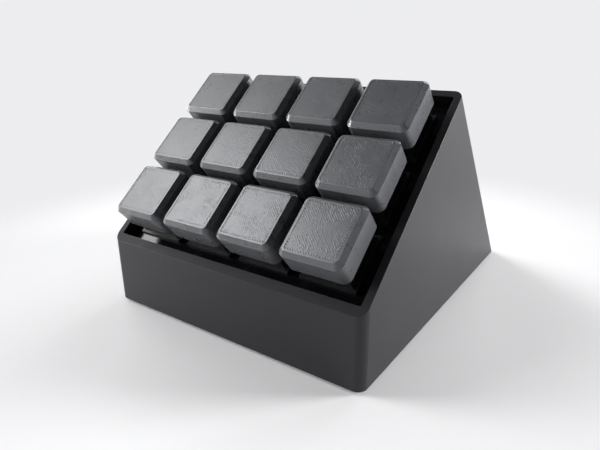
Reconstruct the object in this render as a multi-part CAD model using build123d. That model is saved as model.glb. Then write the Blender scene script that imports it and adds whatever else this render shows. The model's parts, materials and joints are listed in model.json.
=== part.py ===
from build123d import *
import os
from math import cos, radians, sin, tan

# Macro keypad: a printed wedge case that holds twelve mechanical key switches on a sloping plate.
# Millimetres. +X is to the right, +Y to the back and +Z up, with the origin on the desk under the
# middle of the keypad. Pieces are drawn with the case's front wall at Y = 0 and its lower edge at
# Z = 0, and moved to the origin when they are written.

# Key grid
COLUMNS = 4
ROWS = 3
KEY_PITCH = 19.05
SIDE_MARGIN = 3.9
FRONT_MARGIN = 4.1
BACK_MARGIN = 4.75

# Case
DECK_ANGLE = 40.0
FRONT_HEIGHT = 19.0
WALL = 2.0
CORNER_RADIUS = 2.5
LEAST_RADIUS = 0.4
FIT_GAP = 0.2
LEDGE_WIDTH = 1.6
LEDGE_THICK = 2.0

# Switch plate
PLATE_RECESS = 3.5
PLATE_THICK = 3.0
PLATE_AT_CLIPS = 1.5
CUTOUT = 14.0
CUTOUT_RELIEF = 1.0
PLATE_CORNER = 0.8

# Key caps
CAP_SPACING = 2.25
CAP_HEIGHT = 7.2
CAP_BEVEL = 1.15
CAP_CORNER = 2.0
CAP_WALL = 1.4
CAP_ROOF = 1.8
CAP_CLEARANCE_DOWN = 2.2
BOSS_DIAMETER = 5.5

# Key switches, measured from the plate's top face
TRAVEL = 4.0
HOUSING_GAP = 0.05
HOUSING_RISE = 6.6
HOUSING_DEPTH = 5.0
HOUSING_TOP_WIDTH = 11.4
HOUSING_TOP_LENGTH = 10.9
HOUSING_ROOF = 1.0
HOUSING_WALL = 1.3
HOUSING_FLOOR = 1.4
FLANGE_LIP = 0.8
FLANGE_THICK = 1.0
CLIP_WIDTH = 4.0
CLIP_REACH = 0.4
CLIP_HEIGHT = 1.2
POST_DIAMETER = 4.0
POST_LENGTH = 3.3
SLIDER_WIDTH = 6.9
SLIDER_LENGTH = 5.8
SLIDER_HEIGHT = 4.0
SLIDER_GAP = 0.25
SHOULDER_REACH = 1.05
SHOULDER_HEIGHT = 1.3
STOP_GAP = 0.1
CROSS_SPAN = 4.1
CROSS_ARM_X = 1.3
CROSS_ARM_Y = 1.1
CROSS_LENGTH = 3.6
CROSS_GAP = 0.03
GUIDE_DIAMETER = 2.2
GUIDE_LENGTH = 7.6
GUIDE_GAP = 0.3
END_GAP = 0.6
SPRING_DIAMETER = 4.3
SPRING_WIRE = 0.3
SPRING_GAP = 0.3
CONTACT_SHEET = 0.3
CONTACT_WIDTH = 2.6
LEAF_FROM_SLIDER = 0.85
LEAF_GAP = 0.4
LEAF_TOP = 2.4
PIN_WIDTH = 0.9
PIN_THICK = 0.5
PIN_REACH = 3.3
PIN_GAP = 0.15
LEAF_PIN_X = -3.81
LEAF_PIN_Y = 2.54
FIXED_PIN_X = 2.54
FIXED_GAP = 0.42

# Matrix board and its diodes
BOARD_THICK = 1.6
MATRIX_MARGIN = 8.0
POST_HOLE_GAP = 0.1
PIN_HOLE = 1.3
DIODE_WIDTH = 1.6
DIODE_LENGTH = 2.7
DIODE_HEIGHT = 1.1
DIODE_X = -5.6
DIODE_Y = -3.4

# Ribbon cable and its two connectors
RIBBON_WIDTH = 8.75
RIBBON_THICK = 0.9
RIBBON_LEAD = 2.0
CONNECTOR_WALL = 0.7
CONNECTOR_LENGTH = 4.4
CONNECTOR_HEIGHT = 3.4
CONNECTOR_FROM_ROW = 9.3
CONNECTOR_SLOT_DEPTH = 2.6
CONNECTOR_SLOT_GAP = 0.1

# Controller board, chip and data socket
CONTROLLER_WIDTH = 18.0
CONTROLLER_LENGTH = 33.0
CHIP_SIZE = 7.0
CHIP_HEIGHT = 0.9
SOCKET_WIDTH = 8.94
SOCKET_HEIGHT = 3.26
SOCKET_LENGTH = 7.3
SOCKET_SHEET = 0.3
SOCKET_CORNER = 1.25
SOCKET_OVERHANG = 1.0
SOCKET_TO_WALL = 0.5
TONGUE_WIDTH = 6.6
TONGUE_THICK = 0.7
TONGUE_SHORTER = 0.8
INLET_WIDTH = 12.5
INLET_HEIGHT = 7.0
INLET_CORNER = 2.0

# Base cover, its cradle for the controller, its screws, inserts and feet
BASE_THICK = 2.4
RAIL_HEIGHT = 1.6
RAIL_WIDTH = 2.0
RAIL_INSET = 0.6
GUIDE_WALL = 1.2
HOOK_LIP = 0.5
HOOK_HEIGHT = 1.0
HOOK_LENGTH = 6.0
CRADLE_GAP = 0.15
BOSS_OUTER = 8.0
BOSS_HEIGHT = 9.0
BOSS_BITE = 0.5
BOSS_HOLE_DEPTH = 7.0
INSERT_OUTER = 4.2
INSERT_LENGTH = 5.0
INSERT_GAP = 0.02
SCREW_DIAMETER = 2.9
SCREW_LENGTH = 8.0
SCREW_HEAD = 5.6
SCREW_HEAD_HEIGHT = 1.6
SCREW_SOCKET = 2.0
SCREW_SOCKET_DEPTH = 1.0
SCREW_SINK = 0.2
SCREW_GAP = 0.1
FOOT_DIAMETER = 10.0
FOOT_THICK = 1.6
FOOT_PROUD = 0.8
FOOT_EDGE = 0.3
FOOT_FROM_SCREW_X = 6.5
FOOT_FROM_SCREW_Y = 8.5

# How far a cutting solid runs past the face that it opens
OVERCUT = 2.0

# Sides of the small hidden rods that repeat at each key and screw
FLATS = 8

# Sizes that follow from those above
TILT = radians(DECK_ANGLE)
CASE_WIDTH = COLUMNS * KEY_PITCH + 2 * SIDE_MARGIN
DECK_LENGTH = ROWS * KEY_PITCH + FRONT_MARGIN + BACK_MARGIN
RIM_BACK_HEIGHT = FRONT_HEIGHT + DECK_LENGTH * sin(TILT)
CASE_DEPTH = DECK_LENGTH * cos(TILT) + RIM_BACK_HEIGHT * tan(TILT)
FRONT_ROW = FRONT_MARGIN + KEY_PITCH / 2
PLATE_SEAT = PLATE_RECESS + PLATE_THICK
PLATE_WIDTH = CASE_WIDTH - 2 * (WALL + FIT_GAP)
PLATE_FRONT = (WALL - PLATE_RECESS * sin(TILT)) / cos(TILT) + FIT_GAP
PLATE_BACK = DECK_LENGTH - WALL - FIT_GAP
CAP_WIDTH = KEY_PITCH - CAP_SPACING
CAP_BOTTOM = TRAVEL + CAP_CLEARANCE_DOWN
CAP_TOP = CAP_BOTTOM + CAP_HEIGHT
BODY_WIDTH = CUTOUT - 2 * HOUSING_GAP
FLANGE_WIDTH = CUTOUT + 2 * FLANGE_LIP
HOUSING_ROOM_TOP = HOUSING_RISE - HOUSING_ROOF
HOUSING_FLOOR_TOP = HOUSING_FLOOR - HOUSING_DEPTH
SLIDER_BOTTOM = HOUSING_RISE - SLIDER_HEIGHT
SPRING_TOP = HOUSING_ROOM_TOP - STOP_GAP
SPRING_POCKET = SPRING_DIAMETER + 2 * SPRING_GAP
GUIDE_TIP = SPRING_TOP - GUIDE_LENGTH
CROSS_TIP = HOUSING_RISE + CROSS_LENGTH
LEAF_SIDE = SLIDER_LENGTH / 2 + LEAF_FROM_SLIDER + CONTACT_SHEET / 2
COVER_ROOM_LENGTH = 2 * (LEAF_SIDE + CONTACT_SHEET / 2 + LEAF_GAP)
SLIDER_REACH = SLIDER_WIDTH / 2 + SHOULDER_REACH + SLIDER_GAP
LEAF_REACH = PIN_WIDTH / 2 - LEAF_PIN_X + LEAF_GAP
COVER_ROOM_WIDTH = 2 * max(SLIDER_REACH, LEAF_REACH)
FIXED_PIN_Y = BODY_WIDTH / 2 - HOUSING_WALL - FIXED_GAP - CONTACT_SHEET / 2
PIN_TIP = -HOUSING_DEPTH - PIN_REACH
MATRIX_BOTTOM = -HOUSING_DEPTH - BOARD_THICK
CONNECTOR_SLOT = RIBBON_WIDTH + 2 * CONNECTOR_SLOT_GAP
CONNECTOR_SLOPE_PLACE = FRONT_ROW + (ROWS - 2) * KEY_PITCH + CONNECTOR_FROM_ROW
CONTROLLER_TOP = BASE_THICK + RAIL_HEIGHT + BOARD_THICK
SOCKET_AXIS = CONTROLLER_TOP + SOCKET_HEIGHT / 2
BOSS_TOP = BASE_THICK + BOSS_HEIGHT


def rim_point(along, above):
    """Y and Z of a point in the case's side section, along the sloping rim and square to it."""
    y = along * cos(TILT) - above * sin(TILT)
    z = FRONT_HEIGHT + along * sin(TILT) + above * cos(TILT)
    return (y, z)


def back_wall_inside(height):
    """Y of the back wall's inner face at a height above the case's lower edge."""
    return CASE_DEPTH - height * tan(TILT) - WALL / cos(TILT)


SOCKET_MOUTH = back_wall_inside(SOCKET_AXIS + INLET_HEIGHT / 2) - SOCKET_TO_WALL
CONTROLLER_BACK = SOCKET_MOUTH - SOCKET_OVERHANG
CONTROLLER_MIDDLE = CONTROLLER_BACK - CONTROLLER_LENGTH / 2
CONTROLLER_FRONT = CONTROLLER_BACK - CONTROLLER_LENGTH
CAP_FRONT_Y = rim_point(FRONT_ROW - CAP_WIDTH / 2, CAP_TOP - CAP_BEVEL - PLATE_RECESS)[0]
TO_ORIGIN = Pos(0, -(min(0, CAP_FRONT_Y) + CASE_DEPTH) / 2, FOOT_PROUD)

# The plate's top face, with local Y up the slope from the case's front upper edge
DECK = Plane(
    origin=(0, *rim_point(0, -PLATE_RECESS)),
    x_dir=(1, 0, 0),
    z_dir=(0, -sin(TILT), cos(TILT)),
).location
STANDING = (Align.CENTER, Align.CENTER, Align.MIN)


def block(width, length, low, high, x=0, y=0):
    """Box between two heights, centred on x and y."""
    return Pos(x, y, low) * Box(width, length, high - low, align=STANDING)


def rod(diameter, low, high, x=0, y=0):
    """Upright cylinder between two heights."""
    return Pos(x, y, low) * Cylinder(diameter / 2, high - low, align=STANDING)


def flat_rod(diameter, low, high, x=0, y=0):
    """Upright rod with flat sides, for the small hidden pieces that repeat at each key and screw."""
    section = RegularPolygon(diameter / 2, FLATS, major_radius=False)
    return Pos(x, y, low) * extrude(section, high - low)


def rounded_block(width, length, corner, low, high):
    """Box between two heights with rounded upright edges."""
    return extrude(Pos(0, 0, low) * RectangleRounded(width, length, corner), high - low)


def side_profile(points, width):
    """Prism across X from an outline of Y and Z points."""
    return extrude(Plane.YZ * make_face(Polyline(*points, close=True)), width / 2, both=True)


def key_places():
    """Name and place on the deck of each key, with row 1 at the back and column 1 on the left."""
    places = {}
    for row in range(ROWS):
        for column in range(COLUMNS):
            x = (column - (COLUMNS - 1) / 2) * KEY_PITCH
            y = FRONT_ROW + (ROWS - 1 - row) * KEY_PITCH
            places[f"r{row + 1}c{column + 1}"] = (x, y)
    return places


def at_every_key(piece):
    """One copy of a piece at each key, as a group of separate solids."""
    solids = []
    for x, y in key_places().values():
        solids += [DECK * Pos(x, y, 0) * solid for solid in piece.solids()]
    return Compound(solids)


def wedge(inset, low, above_rim):
    """Case volume with its walls moved in by inset, from a height up to a plane square above the rim."""
    back = DECK_LENGTH - inset
    front_top = FRONT_HEIGHT + inset * tan(TILT) + above_rim / cos(TILT)
    back_drop = (FRONT_HEIGHT + back * sin(TILT) - low) / cos(TILT)
    outline = [(inset, low), (inset, front_top), rim_point(back, above_rim), rim_point(back, -back_drop)]
    body = side_profile(outline, CASE_WIDTH - 2 * inset)
    back_edges = Axis((0, 0, 0), (0, -sin(TILT), cos(TILT)))
    corners = body.edges().filter_by(Axis.Z) + body.edges().filter_by(back_edges)
    return fillet(corners, max(CORNER_RADIUS - inset, LEAST_RADIUS))


def screw_places():
    """Corner posts that bite into the case's walls."""
    reach = BOSS_OUTER / 2 - BOSS_BITE
    x = CASE_WIDTH / 2 - WALL - reach
    front = WALL + reach
    back = back_wall_inside(BOSS_TOP) - reach
    return [(-x, front), (x, front), (-x, back), (x, back)]


def foot_places():
    """Feet stand inwards from the screws."""
    places = []
    for x, y in screw_places():
        inward_x = -FOOT_FROM_SCREW_X if x > 0 else FOOT_FROM_SCREW_X
        inward_y = -FOOT_FROM_SCREW_Y if y > CASE_DEPTH / 2 else FOOT_FROM_SCREW_Y
        places.append((x + inward_x, y + inward_y))
    return places


def plate_outline(inset, low, high):
    """Rounded block on the deck with the plate's outline, moved in by inset."""
    length = PLATE_BACK - PLATE_FRONT - 2 * inset
    middle = (PLATE_BACK + PLATE_FRONT) / 2
    return Pos(0, middle, 0) * rounded_block(PLATE_WIDTH - 2 * inset, length, PLATE_CORNER, low, high)


def case_shell():
    """Four printed walls with a raised rim, a ledge for the plate, screw posts and the socket's inlet."""
    shell = wedge(0, 0, 0) - wedge(WALL, -OVERCUT, OVERCUT)
    half_wall = WALL / 2
    under_plate = wedge(half_wall, 0, -PLATE_SEAT)
    ledge = under_plate - wedge(half_wall, -OVERCUT, -PLATE_SEAT - LEDGE_THICK)
    ledge -= DECK * plate_outline(LEDGE_WIDTH, -PLATE_THICK - 2 * LEDGE_THICK, OVERCUT)
    shell += ledge
    for x, y in screw_places():
        shell += flat_rod(BOSS_OUTER, BASE_THICK, BOSS_TOP, x, y) & under_plate
    for x, y in screw_places():
        hole = INSERT_OUTER + 2 * INSERT_GAP
        shell -= flat_rod(hole, BASE_THICK - OVERCUT, BASE_THICK + BOSS_HOLE_DEPTH, x, y)
    return shell - inlet_hole()


def inlet_hole():
    """Rounded window through the sloping back wall, level with the data socket."""
    face = Plane(origin=(0, SOCKET_MOUTH, SOCKET_AXIS), x_dir=(1, 0, 0), z_dir=(0, 1, 0))
    window = face * RectangleRounded(INLET_WIDTH, INLET_HEIGHT, INLET_CORNER)
    return extrude(window, CASE_DEPTH - SOCKET_MOUTH)


def switch_plate():
    """Plate with a square cut-out for each switch, thinned from below where the switch clips hold."""
    plate = plate_outline(0, -PLATE_THICK, 0)
    relief = CUTOUT + 2 * CUTOUT_RELIEF
    for x, y in key_places().values():
        plate -= block(CUTOUT, CUTOUT, -PLATE_THICK - OVERCUT, OVERCUT, x, y)
        plate -= block(relief, relief, -PLATE_THICK - OVERCUT, -PLATE_AT_CLIPS, x, y)
    return DECK * plate


def keycap():
    """Square cap with a bevelled top, hollow below, with a boss that grips the stem's cross."""
    cap = rounded_block(CAP_WIDTH, CAP_WIDTH, CAP_CORNER, CAP_BOTTOM, CAP_TOP)
    cap = chamfer(cap.faces().sort_by(Axis.Z)[-1].edges(), CAP_BEVEL)
    room = CAP_WIDTH - 2 * CAP_WALL
    cap -= block(room, room, CAP_BOTTOM - OVERCUT, CAP_TOP - CAP_ROOF)
    cap += flat_rod(BOSS_DIAMETER, HOUSING_RISE + STOP_GAP, CAP_TOP - CAP_ROOF / 2)
    return cap - cross(2 * CROSS_GAP, HOUSING_RISE - OVERCUT, CROSS_TIP + STOP_GAP)


def cross(growth, low, high):
    """Cross-shaped prism of the stem, grown all round by half of growth."""
    bar_x = block(CROSS_SPAN + growth, CROSS_ARM_X + growth, low, high)
    bar_y = block(CROSS_ARM_Y + growth, CROSS_SPAN + growth, low, high)
    return bar_x + bar_y


def switch_stem():
    """Slider with a cross on top, stop shoulders at its sides and a guide pin inside the spring."""
    stem = block(SLIDER_WIDTH, SLIDER_LENGTH, SLIDER_BOTTOM, HOUSING_RISE)
    shoulder_top = HOUSING_ROOM_TOP - STOP_GAP
    shoulders = SLIDER_WIDTH + 2 * SHOULDER_REACH
    stem += block(shoulders, SLIDER_LENGTH, shoulder_top - SHOULDER_HEIGHT, shoulder_top)
    stem -= block(SPRING_POCKET, SPRING_POCKET, SLIDER_BOTTOM - OVERCUT, SPRING_TOP)
    stem += flat_rod(GUIDE_DIAMETER, GUIDE_TIP, SPRING_TOP)
    return stem + cross(0, HOUSING_RISE, CROSS_TIP)


def switch_spring():
    """Sleeve that holds the coil's place between the housing's floor and the slider."""
    bore = SPRING_DIAMETER - 2 * SPRING_WIRE
    sleeve = flat_rod(SPRING_DIAMETER, HOUSING_FLOOR_TOP, SPRING_TOP)
    return sleeve - flat_rod(bore, HOUSING_FLOOR_TOP, SPRING_TOP)


def lower_housing():
    """Open box that drops into the plate, with a flange on top, clips below and a locating post."""
    body = block(BODY_WIDTH, BODY_WIDTH, -HOUSING_DEPTH, 0)
    body += block(FLANGE_WIDTH, FLANGE_WIDTH, 0, FLANGE_THICK)
    body += flat_rod(POST_DIAMETER, -HOUSING_DEPTH - POST_LENGTH, -HOUSING_DEPTH)
    room = BODY_WIDTH - 2 * HOUSING_WALL
    body -= block(room, room, HOUSING_FLOOR_TOP, FLANGE_THICK)
    body -= flat_rod(GUIDE_DIAMETER + 2 * GUIDE_GAP, GUIDE_TIP - TRAVEL - END_GAP, HOUSING_FLOOR_TOP)
    slot_x = PIN_WIDTH + 2 * PIN_GAP
    slot_y = PIN_THICK + 2 * PIN_GAP
    for x, y in ((LEAF_PIN_X, LEAF_PIN_Y), (FIXED_PIN_X, FIXED_PIN_Y)):
        body -= block(slot_x, slot_y, -HOUSING_DEPTH, HOUSING_FLOOR_TOP, x, y)
    side = BODY_WIDTH / 2
    latch = -PLATE_AT_CLIPS - HOUSING_GAP
    clip = side_profile([(side, latch), (side + CLIP_REACH, latch), (side, latch - CLIP_HEIGHT)], CLIP_WIDTH)
    return body + clip + mirror(clip, Plane.XZ)


def upper_housing():
    """Tapered cover on the flange, open at the top for the slider."""
    foot = Pos(0, 0, FLANGE_THICK) * Rectangle(BODY_WIDTH, BODY_WIDTH)
    top = Pos(0, 0, HOUSING_RISE) * Rectangle(HOUSING_TOP_WIDTH, HOUSING_TOP_LENGTH)
    cover = loft([foot, top])
    cover -= block(COVER_ROOM_WIDTH, COVER_ROOM_LENGTH, FLANGE_THICK, HOUSING_ROOM_TOP)
    mouth_x = SLIDER_WIDTH + 2 * SLIDER_GAP
    mouth_y = SLIDER_LENGTH + 2 * SLIDER_GAP
    return cover - block(mouth_x, mouth_y, HOUSING_ROOM_TOP, HOUSING_RISE + OVERCUT)


def contact_leaf():
    """Sprung strip beside the slider, bent over the floor to its solder pin."""
    foot_low = HOUSING_FLOOR_TOP
    foot_high = HOUSING_FLOOR_TOP + CONTACT_SHEET
    pin = block(PIN_WIDTH, PIN_THICK, PIN_TIP, foot_high, LEAF_PIN_X, LEAF_PIN_Y)
    foot_length = LEAF_SIDE - LEAF_PIN_Y
    foot = block(PIN_WIDTH, foot_length, foot_low, foot_high, LEAF_PIN_X, LEAF_PIN_Y + foot_length / 2)
    leaf_x = LEAF_PIN_X - PIN_WIDTH / 2 + CONTACT_WIDTH / 2
    leaf = block(CONTACT_WIDTH, CONTACT_SHEET, foot_low, LEAF_TOP, leaf_x, LEAF_SIDE)
    return pin + foot + leaf


def contact_fixed():
    """Upright strip behind the leaf, with its solder pin below."""
    pin = block(PIN_WIDTH, PIN_THICK, PIN_TIP, HOUSING_FLOOR_TOP, FIXED_PIN_X, FIXED_PIN_Y)
    strip_x = FIXED_PIN_X + PIN_WIDTH / 2 - CONTACT_WIDTH / 2
    strip_top = FLANGE_THICK - STOP_GAP
    strip = block(CONTACT_WIDTH, CONTACT_SHEET, HOUSING_FLOOR_TOP, strip_top, strip_x, FIXED_PIN_Y)
    return pin + strip


def matrix_board():
    """Circuit board under the switches, with a hole for each post and pin."""
    width = (COLUMNS - 1) * KEY_PITCH + 2 * MATRIX_MARGIN
    length = (ROWS - 1) * KEY_PITCH + 2 * MATRIX_MARGIN
    middle = FRONT_ROW + (ROWS - 1) * KEY_PITCH / 2
    board = block(width, length, MATRIX_BOTTOM, -HOUSING_DEPTH, 0, middle)
    for x, y in key_places().values():
        board -= flat_rod(POST_DIAMETER + 2 * POST_HOLE_GAP, MATRIX_BOTTOM, -HOUSING_DEPTH, x, y)
        for pin_x, pin_y in ((LEAF_PIN_X, LEAF_PIN_Y), (FIXED_PIN_X, FIXED_PIN_Y)):
            board -= block(PIN_HOLE, PIN_HOLE, MATRIX_BOTTOM, -HOUSING_DEPTH, x + pin_x, y + pin_y)
    return DECK * board


def matrix_diode():
    """Small surface-mounted diode on the board's underside."""
    return block(DIODE_WIDTH, DIODE_LENGTH, MATRIX_BOTTOM - DIODE_HEIGHT, MATRIX_BOTTOM, DIODE_X, DIODE_Y)


def ribbon_connector():
    """Low connector standing on its board, with its slot towards local minus Y."""
    width = CONNECTOR_SLOT + 2 * CONNECTOR_WALL
    shell = block(width, CONNECTOR_LENGTH, 0, CONNECTOR_HEIGHT, 0, CONNECTOR_LENGTH / 2)
    slot_z = RIBBON_THICK + 2 * CONNECTOR_SLOT_GAP
    middle = CONNECTOR_HEIGHT / 2
    return shell - block(CONNECTOR_SLOT, 2 * CONNECTOR_SLOT_DEPTH, middle - slot_z / 2, middle + slot_z / 2)


def matrix_connector_place():
    """The connector hangs under the matrix board between the middle columns, slot down the slope."""
    return DECK * Pos(0, CONNECTOR_SLOPE_PLACE, MATRIX_BOTTOM) * Rot(0, 180, 0)


def controller_connector_place():
    """The other connector stands on the controller board's front edge."""
    return Pos(0, CONTROLLER_FRONT, CONTROLLER_TOP)


def ribbon_cable():
    """Flat cable: out of the upper connector down the slope, round one wide bend, into the lower one."""
    inside = CONNECTOR_SLOT_DEPTH - CONNECTOR_SLOT_GAP
    depth = MATRIX_BOTTOM - CONNECTOR_HEIGHT / 2 - PLATE_RECESS
    start = Vector(*rim_point(CONNECTOR_SLOPE_PLACE + inside, depth))
    bend_start = Vector(*rim_point(CONNECTOR_SLOPE_PLACE - RIBBON_LEAD, depth))
    end_height = CONTROLLER_TOP + CONNECTOR_HEIGHT / 2
    radius = (bend_start.Y - end_height) / (1 + cos(TILT))
    centre = Vector(bend_start.X + radius * sin(TILT), end_height + radius)
    to_start = Vector(-sin(TILT), cos(TILT))
    to_middle = Vector(-cos(TILT / 2), -sin(TILT / 2))
    to_end = Vector(0, -1)
    end = Vector(CONTROLLER_FRONT + inside, end_height)
    faces = []
    for shift in (-RIBBON_THICK / 2, RIBBON_THICK / 2):
        turn = radius + shift
        run_in = Line(start + to_start * shift, centre + to_start * turn)
        bend = ThreePointArc(centre + to_start * turn, centre + to_middle * turn, centre + to_end * turn)
        run_out = Line(centre + to_end * turn, end + to_end * shift)
        faces.append([run_in, bend, run_out])
    inner, outer = faces
    ends = [Line(inner[0] @ 0, outer[0] @ 0), Line(inner[2] @ 1, outer[2] @ 1)]
    return extrude(Plane.YZ * make_face(inner + outer + ends), RIBBON_WIDTH / 2, both=True)


def controller_board():
    """Small controller board lying on the cradle's rails."""
    low = CONTROLLER_TOP - BOARD_THICK
    return block(CONTROLLER_WIDTH, CONTROLLER_LENGTH, low, CONTROLLER_TOP, 0, CONTROLLER_MIDDLE)


def controller_chip():
    """Flat chip on the middle of the controller board."""
    return block(CHIP_SIZE, CHIP_SIZE, CONTROLLER_TOP, CONTROLLER_TOP + CHIP_HEIGHT, 0, CONTROLLER_MIDDLE)


def socket_tube(inset, length):
    """Rounded tube section of the data socket, from its mouth inwards."""
    face = Plane(origin=(0, SOCKET_MOUTH, SOCKET_AXIS), x_dir=(1, 0, 0), z_dir=(0, -1, 0))
    width = SOCKET_WIDTH - 2 * inset
    height = SOCKET_HEIGHT - 2 * inset
    return extrude(face * RectangleRounded(width, height, SOCKET_CORNER - inset), length)


def socket_shell():
    """Drawn metal shell of the data socket, open at its mouth and closed at its back."""
    return socket_tube(0, SOCKET_LENGTH) - socket_tube(SOCKET_SHEET, SOCKET_LENGTH - SOCKET_SHEET)


def socket_tongue():
    """Contact tongue that stands on the socket's back wall."""
    back = SOCKET_MOUTH - SOCKET_LENGTH + SOCKET_SHEET
    front = SOCKET_MOUTH - TONGUE_SHORTER
    low = SOCKET_AXIS - TONGUE_THICK / 2
    return block(TONGUE_WIDTH, front - back, low, low + TONGUE_THICK, 0, (front + back) / 2)


def controller_cradle():
    """Rails under the board, end stops and two pairs of hooks over its edges."""
    rail_x = CONTROLLER_WIDTH / 2 - RAIL_INSET - RAIL_WIDTH / 2
    rail_top = BASE_THICK + RAIL_HEIGHT
    stop_reach = CONTROLLER_LENGTH / 2 + CRADLE_GAP + GUIDE_WALL / 2
    hook_root = CONTROLLER_WIDTH / 2 + CRADLE_GAP
    hook_under = CONTROLLER_TOP + CRADLE_GAP
    hook = [
        (hook_root, BASE_THICK),
        (hook_root, hook_under),
        (hook_root - CRADLE_GAP - HOOK_LIP, hook_under),
        (hook_root, hook_under + HOOK_HEIGHT),
        (hook_root + GUIDE_WALL, hook_under + HOOK_HEIGHT),
        (hook_root + GUIDE_WALL, BASE_THICK),
    ]
    hook_face = Plane.XZ * make_face(Polyline(*hook, close=True))
    right_hook = extrude(hook_face, HOOK_LENGTH / 2, both=True)
    cradle = []
    for side in (-rail_x, rail_x):
        cradle.append(block(RAIL_WIDTH, CONTROLLER_LENGTH, BASE_THICK, rail_top, side, CONTROLLER_MIDDLE))
        for end in (-stop_reach, stop_reach):
            y = CONTROLLER_MIDDLE + end
            cradle.append(block(RAIL_WIDTH, GUIDE_WALL, BASE_THICK, CONTROLLER_TOP, side, y))
    for end in (-CONTROLLER_LENGTH / 4, CONTROLLER_LENGTH / 4):
        placed = Pos(0, CONTROLLER_MIDDLE + end, 0) * right_hook
        cradle += [placed, mirror(placed, Plane.YZ)]
    return cradle


def screw(growth):
    """Countersunk screw, head down, grown all round for its hole."""
    head_top = SCREW_SINK + SCREW_HEAD_HEIGHT
    head_radius = SCREW_HEAD / 2 + growth
    shank_radius = SCREW_DIAMETER / 2 + growth
    outline = Polyline(
        (0, SCREW_SINK),
        (head_radius, SCREW_SINK),
        (shank_radius, head_top),
        (shank_radius, SCREW_SINK + SCREW_LENGTH),
        (0, SCREW_SINK + SCREW_LENGTH),
        close=True,
    )
    return revolve(Plane.XZ * make_face(outline), Axis.Z)


def base_cover():
    """Bottom plate inside the walls, with countersunk holes, seats for the feet and the cradle."""
    slab = block(2 * CASE_WIDTH, 2 * CASE_DEPTH, 0, BASE_THICK, 0, CASE_DEPTH / 2)
    cover = wedge(WALL + FIT_GAP, -OVERCUT, 0) & slab
    for x, y in screw_places():
        cover -= Pos(x, y, 0) * screw(SCREW_GAP)
        cover -= rod(SCREW_HEAD + 2 * SCREW_GAP, -OVERCUT, SCREW_SINK, x, y)
    for x, y in foot_places():
        cover -= rod(FOOT_DIAMETER + 2 * FIT_GAP, -OVERCUT, FOOT_THICK - FOOT_PROUD, x, y)
    return cover + controller_cradle()


def base_screw():
    """Countersunk screw with a hexagon socket."""
    socket = extrude(RegularPolygon(SCREW_SOCKET / 2, 6, major_radius=False), SCREW_SOCKET_DEPTH)
    return screw(0) - Pos(0, 0, SCREW_SINK) * socket


def screw_insert():
    """Brass sleeve with flat sides, pressed into a screw post."""
    bore = SCREW_DIAMETER + 2 * SCREW_GAP
    top = BASE_THICK + INSERT_LENGTH
    return flat_rod(INSERT_OUTER, BASE_THICK, top) - flat_rod(bore, BASE_THICK, top)


def rubber_foot():
    """Soft disc in its seat, with a bevelled lower edge."""
    foot = rod(FOOT_DIAMETER, -FOOT_PROUD, FOOT_THICK - FOOT_PROUD)
    return chamfer(foot.edges().sort_by(Axis.Z)[0], FOOT_EDGE)


def copies(piece, places):
    """Group of separate solids, one at each place on the base."""
    return Compound([Pos(x, y, 0) * piece for x, y in places])


def all_nodes():
    """Every piece by name, drawn in the case's own place."""
    nodes = {
        "case_shell": case_shell(),
        "switch_plate": switch_plate(),
        "base_cover": base_cover(),
        "base_screws": copies(base_screw(), screw_places()),
        "screw_inserts": copies(screw_insert(), screw_places()),
        "rubber_feet": copies(rubber_foot(), foot_places()),
        "switch_lower_housings": at_every_key(lower_housing()),
        "switch_upper_housings": at_every_key(upper_housing()),
        "switch_contact_leaves": at_every_key(contact_leaf()),
        "switch_fixed_contacts": at_every_key(contact_fixed()),
        "matrix_board": matrix_board(),
        "matrix_diodes": at_every_key(matrix_diode()),
        "matrix_connector": matrix_connector_place() * ribbon_connector(),
        "controller_connector": controller_connector_place() * ribbon_connector(),
        "ribbon_cable": ribbon_cable(),
        "controller_board": controller_board(),
        "controller_chip": controller_chip(),
        "data_socket_shell": socket_shell(),
        "data_socket_tongue": socket_tongue(),
    }
    moving = {"keycap": keycap(), "switch_stem": switch_stem(), "switch_spring": switch_spring()}
    for name, piece in moving.items():
        for key, (x, y) in key_places().items():
            nodes[f"{name}_{key}"] = DECK * Pos(x, y, 0) * piece
    return nodes


os.makedirs("parts", exist_ok=True)
for node_name, node in all_nodes().items():
    export_step(TO_ORIGIN * node, f"parts/{node_name}.step")
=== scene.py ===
import json
from math import pi, radians, sqrt

import bmesh
import bpy
from bpy.props import FloatProperty, FloatVectorProperty, IntProperty, PointerProperty
from mathutils import Euler, Matrix, Vector


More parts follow.
